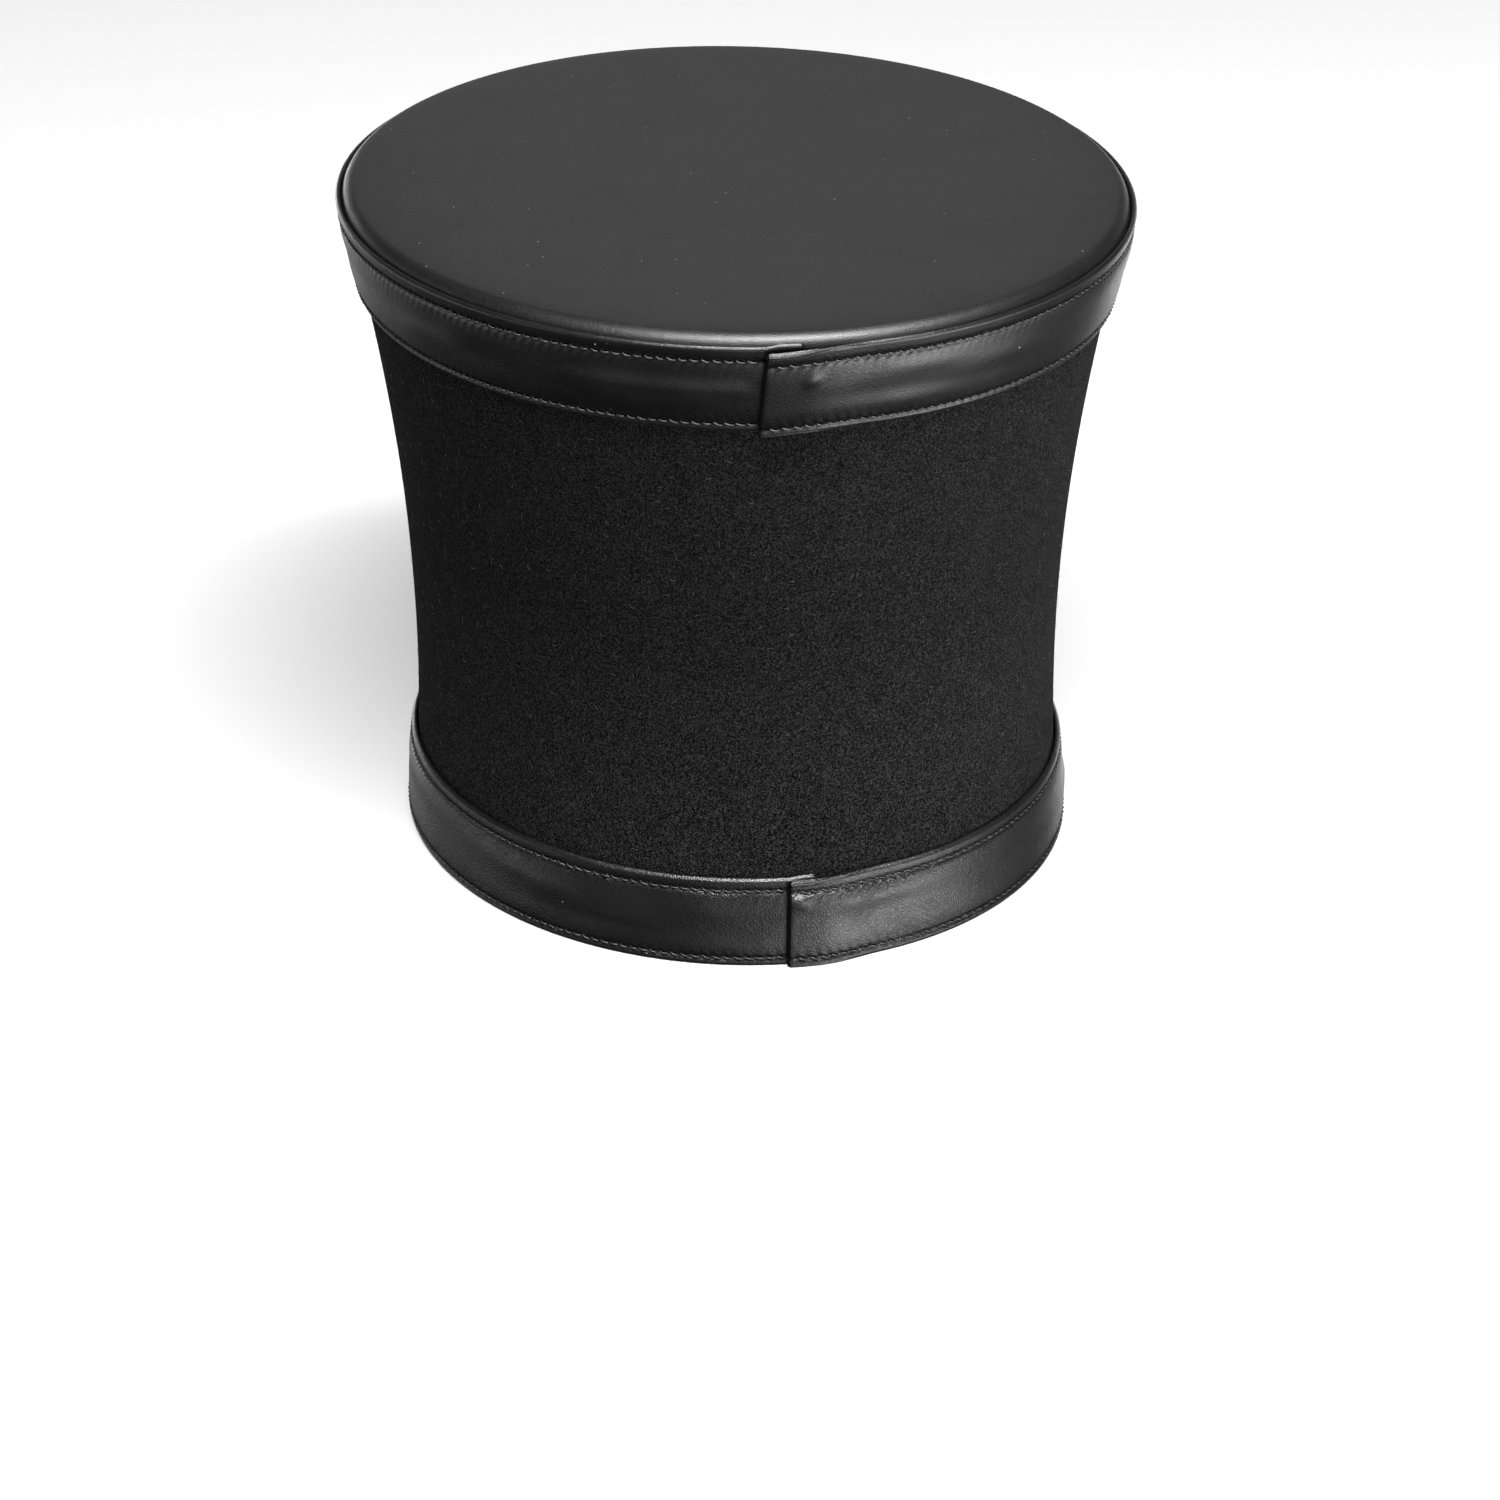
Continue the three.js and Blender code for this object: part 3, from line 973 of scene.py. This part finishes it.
def fibre_tree():
    """Scatters short bent fibres over a surface, lying almost flat and turned at random"""
    tree, given = new_tree("fibres", {
        "Density": FIBRE_DENSITY,
        "Length": FIBRE_LENGTH,
        "Radius": FIBRE_RADIUS,
    })
    scatter = add_node(
        tree,
        "GeometryNodeDistributePointsOnFaces",
        {"distribute_method": "RANDOM"},
        {"Mesh": given["Geometry"], "Density": given["Density"], "Seed": 4},
        output="Points",
    )
    upright = Socket(tree, scatter.output.node.outputs["Rotation"])
    bend = {"Resolution": FIBRE_STEPS, "Start": (0, 0, 0)}
    for place, shares in FIBRE_BEND.items():
        sizes = {axis: given["Length"] * share for axis, share in shares.items()}
        bend[place] = add_node(tree, "ShaderNodeCombineXYZ", None, sizes)
    fibre = bent_strand(tree, bend, FIBRE_SIDES, given["Radius"])
    turned = turned_on(tree, upright, FIBRE_TURN_LOW, FIBRE_TURN_HIGH, seed=9)
    finish_copies(tree, scatter, fibre, turned, FIBRE_SIZES, 2, given["Material"])
    return tree


def grow(carrier, tree, name, material):
    """Runs a node tree on an object and leaves its result as a plain mesh object"""
    modifier = carrier.modifiers.new(name, "NODES")
    modifier.node_group = tree
    for item in tree.interface.items_tree:
        if item.item_type == "SOCKET" and item.in_out == "INPUT" and item.name == "Material":
            modifier[item.identifier] = material
    bpy.context.view_layer.update()
    depsgraph = bpy.context.evaluated_depsgraph_get()
    mesh = bpy.data.meshes.new_from_object(carrier.evaluated_get(depsgraph))
    mesh.name = name
    bpy.data.objects.remove(carrier)
    piece = bpy.data.objects.new(name, mesh)
    bpy.context.scene.collection.objects.link(piece)
    return piece


def stitch_points(places, outward, onward):
    mesh = bpy.data.meshes.new("stitch_places")
    mesh.from_pydata(places.tolist(), [], [])
    for name, values in (("outward", outward), ("onward", onward)):
        layer = mesh.attributes.new(name, "FLOAT_VECTOR", "POINT")
        layer.data.foreach_set("vector", np.asarray(values, np.float32).ravel())
    carrier = bpy.data.objects.new("stitch_places", mesh)
    bpy.context.scene.collection.objects.link(carrier)
    return carrier


def unit(vectors):
    return vectors / np.linalg.norm(vectors, axis=1, keepdims=True)


def band_stitches(strip):
    """Places of the stitches of both rows, the way out from the leather there and the way along the row"""
    band = strip.band
    count = round(strip.length / STITCH_PITCH)
    distance = (np.arange(1, count) + 0.5) * (strip.length / count)
    distance = distance[distance < strip.girth]
    found = []
    for rise in (band["lower_row"], band["height"] - band["upper_row"]):
        before, place, after = (
            strip.surface(distance + step, rise, strip.face(distance + step, rise))
            for step in (-0.5 * MM, 0, 0.5 * MM)
        )
        upward = strip.surface(distance, rise + MM, 0) - strip.surface(distance, rise - MM, 0)
        onward = unit(after - before)
        outward = unit(np.cross(onward, upward))
        found.append((place + outward * STITCH_LIFT, outward, onward))
    return [np.concatenate(part) for part in zip(*found)]


def peak_stitches():
    """The same for the row along the peak's edge, as far as the peak is wide enough to carry it"""
    angle = peak_angles(2001)
    line = peak_row(angle, 1, PEAK_ROW, PEAK_THICKNESS - peak_groove(PEAK_ROW))
    inside = peak_row(angle, 1, PEAK_ROW + MM, PEAK_THICKNESS)
    outside = peak_row(angle, 1, PEAK_ROW - MM, PEAK_THICKNESS)
    wide = np.linalg.norm(line - peak_row(angle, 0, 0, PEAK_THICKNESS), axis=1) > 2 * PEAK_ROW
    along = np.concatenate([[0], np.cumsum(np.linalg.norm(np.diff(line, axis=0), axis=1))])
    stations = np.arange(along[wide][0], along[wide][-1], STITCH_PITCH)
    chosen = np.searchsorted(along, stations)
    onward = unit(line[chosen] - line[chosen - 1])
    outward = unit(np.cross(onward, inside[chosen] - outside[chosen]))
    return line[chosen] + outward * STITCH_LIFT, outward, onward


def fibre_ground():
    """The felt that shows between the bands, as a sheet that faces out"""
    angle = np.linspace(0, 2 * np.pi, 120, endpoint=False)
    low = HEAD_BAND["bottom"] + HEAD_BAND["height"] + MM
    high = TOP_BAND["bottom"] - MM
    rows = np.array(crown_outside(angle, np.linspace(low, high, 40)))
    faces = grid_faces(*rows.shape[:2], wrap_rows=False, wrap_columns=True)
    return add_piece("fibre_ground", rows, faces, FELT)


# Stage and light

# Soft glows that the leather mirrors from where the floor is
FLOOR_GLOWS = (
    {"side": 58, "elevation": -7, "brightness": 9.6, "sharpness": 10},
    {"side": 15, "elevation": -12, "brightness": 1.4, "sharpness": 10},
    {"side": -60, "elevation": -2, "brightness": 0.5, "sharpness": 12},
    {"side": -102, "elevation": 5, "brightness": 2.8, "sharpness": 20},
    {"side": -146, "elevation": -2, "brightness": 0.7, "sharpness": 14},
    {"side": -160, "elevation": -4, "brightness": 6.0, "sharpness": 60},
    {"side": 163, "elevation": -14, "brightness": 4.0, "sharpness": 60},
    {"side": 118, "elevation": -14, "brightness": 0.25, "sharpness": 12},
)
FLOOR_DARK = 0.03

# The air above the floor: brightness by how near a direction is to the one that the top mirrors
BEHIND = {"side": 180, "elevation": 28}
BEHIND_STOPS = ((0.86, 0.04), (0.96, 0.16), (0.99, 0.56), (1.0, 0.66))

# The window light, and the panels on the floor that light the felt
WINDOW = {"side": 14, "elevation": 57, "distance": 2.0, "width": 1.9, "height": 0.45, "glow": 48.0}
FLOOR_PANELS = (
    {"name": "right", "side": 75, "distance": 0.75, "width": 1.1, "depth": 1.2, "glow": 8.0},
    {"name": "front", "side": -160, "distance": 0.8, "width": 1.2, "depth": 1.2, "glow": 9.0},
)
LIGHT_AIM = Vector((0, 0, 100 * MM))
PANEL_HEIGHT = 2 * MM
FLOOR_REACH = 6.0
FLOOR_FADE = 4.0


def make_floor():
    corners = [(x * FLOOR_REACH, y * FLOOR_REACH, 0) for x, y in ((-1, -1), (1, -1), (1, 1), (-1, 1))]
    floor = add_piece("floor", corners, [(0, 1, 2, 3)], make_floor_paint())
    floor.visible_glossy = False


def towards(side, elevation):
    """A direction from the hat, given as degrees to the right of the camera and above the floor"""
    azimuth = CAMERA_AZIMUTH + math.radians(side)
    climb = math.radians(elevation)
    level = math.cos(climb)
    return Vector((math.sin(azimuth) * level, -math.cos(azimuth) * level, math.sin(climb)))


def add_light(name, width, height, glow):
    """A rectangle of light. glow is how bright its face looks."""
    data = bpy.data.lights.new(name, "AREA")
    data.shape = "RECTANGLE"
    data.size = width
    data.size_y = height
    data.energy = glow * math.pi * width * height
    light = bpy.data.objects.new(name, data)
    bpy.context.scene.collection.objects.link(light)
    return light


def add_window_light(side, elevation, distance, width, height, glow):
    """A light that faces the hat"""
    light = add_light("key", width, height, glow)
    direction = towards(side, elevation)
    light.location = LIGHT_AIM + direction * distance
    light.rotation_mode = "QUATERNION"
    light.rotation_quaternion = (-direction).to_track_quat("-Z", "Y")


def add_floor_light(name, side, distance, width, depth, glow):
    """A light just above the floor that faces up. Neither the camera nor the leather sees its face."""
    light = add_light(name, width, depth, glow)
    light.location = towards(side, 0) * distance + Vector((0, 0, PANEL_HEIGHT))
    light.rotation_euler = (math.pi, 0, CAMERA_AZIMUTH + math.radians(side))
    light.visible_camera = False
    light.visible_glossy = False


def nearness(tree, way, side, elevation):
    """1 where a direction of the world is the given one, 0 at a right angle to it"""
    return vector_maths(tree, "DOT_PRODUCT", {0: way, 1: towards(side, elevation)}, output="Value")


def make_world():
    """White to the camera. To the leather it is dim, brighter behind the hat, with the floor's glows."""
    world = bpy.data.worlds.new("studio")
    bpy.context.scene.world = world
    world.use_nodes = True
    tree = world.node_tree
    tree.nodes.clear()
    way = add_node(tree, "ShaderNodeTexCoord", None, None, output="Generated")
    parts = tree.nodes.new("ShaderNodeSeparateXYZ")
    tree.links.new(way.output, parts.inputs[0])
    is_below = ramp(tree, 0.5 - Socket(tree, parts.outputs["Z"]) * 4, ((0.4, 0.0), (0.6, 1.0)))
    above = ramp(tree, nearness(tree, way, BEHIND["side"], BEHIND["elevation"]), BEHIND_STOPS)
    below = FLOOR_DARK
    for glow in FLOOR_GLOWS:
        near = nearness(tree, way, glow["side"], glow["elevation"])
        near = add_node(tree, "ShaderNodeMath", {"operation": "MAXIMUM"}, {0: near, 1: 0.0})
        falling = add_node(tree, "ShaderNodeMath", {"operation": "POWER"}, {0: near, 1: glow["sharpness"]})
        below = falling * glow["brightness"] + below
    colour = mix_colour(tree, is_below, above, below)
    is_seen = add_node(tree, "ShaderNodeLightPath", None, None, output="Is Camera Ray")
    colour = mix_colour(tree, is_seen, colour, grey(1))
    light = add_node(tree, "ShaderNodeBackground", None, {"Color": colour})
    sink = tree.nodes.new("ShaderNodeOutputWorld")
    tree.links.new(light.output, sink.inputs["Surface"])


def make_light():
    make_world()
    add_window_light(**WINDOW)
    for panel in FLOOR_PANELS:
        add_floor_light(**panel)
    bpy.context.scene.view_settings.view_transform = "Standard"


crown = make_crown()
place_piece(crown, "felt", "crown")
top = make_top()
place_piece(top, "leather", "crown_top")
stitches = stitch_tree()
for band in (TOP_BAND, HEAD_BAND):
    piece, strip = make_band(band)
    place_piece(piece, "leather", band["name"])
    sewn = grow(stitch_points(*band_stitches(strip)), stitches, band["name"] + "_stitches", THREAD)
    place_piece(sewn, "leather")
place_piece(make_peak(), "leather", "peak")
place_piece(grow(stitch_points(*peak_stitches()), stitches, "peak_stitches", THREAD), "leather")
place_piece(grow(fibre_ground(), fibre_tree(), "felt_fibres", FIBRE), "felt")

make_floor()
make_light()
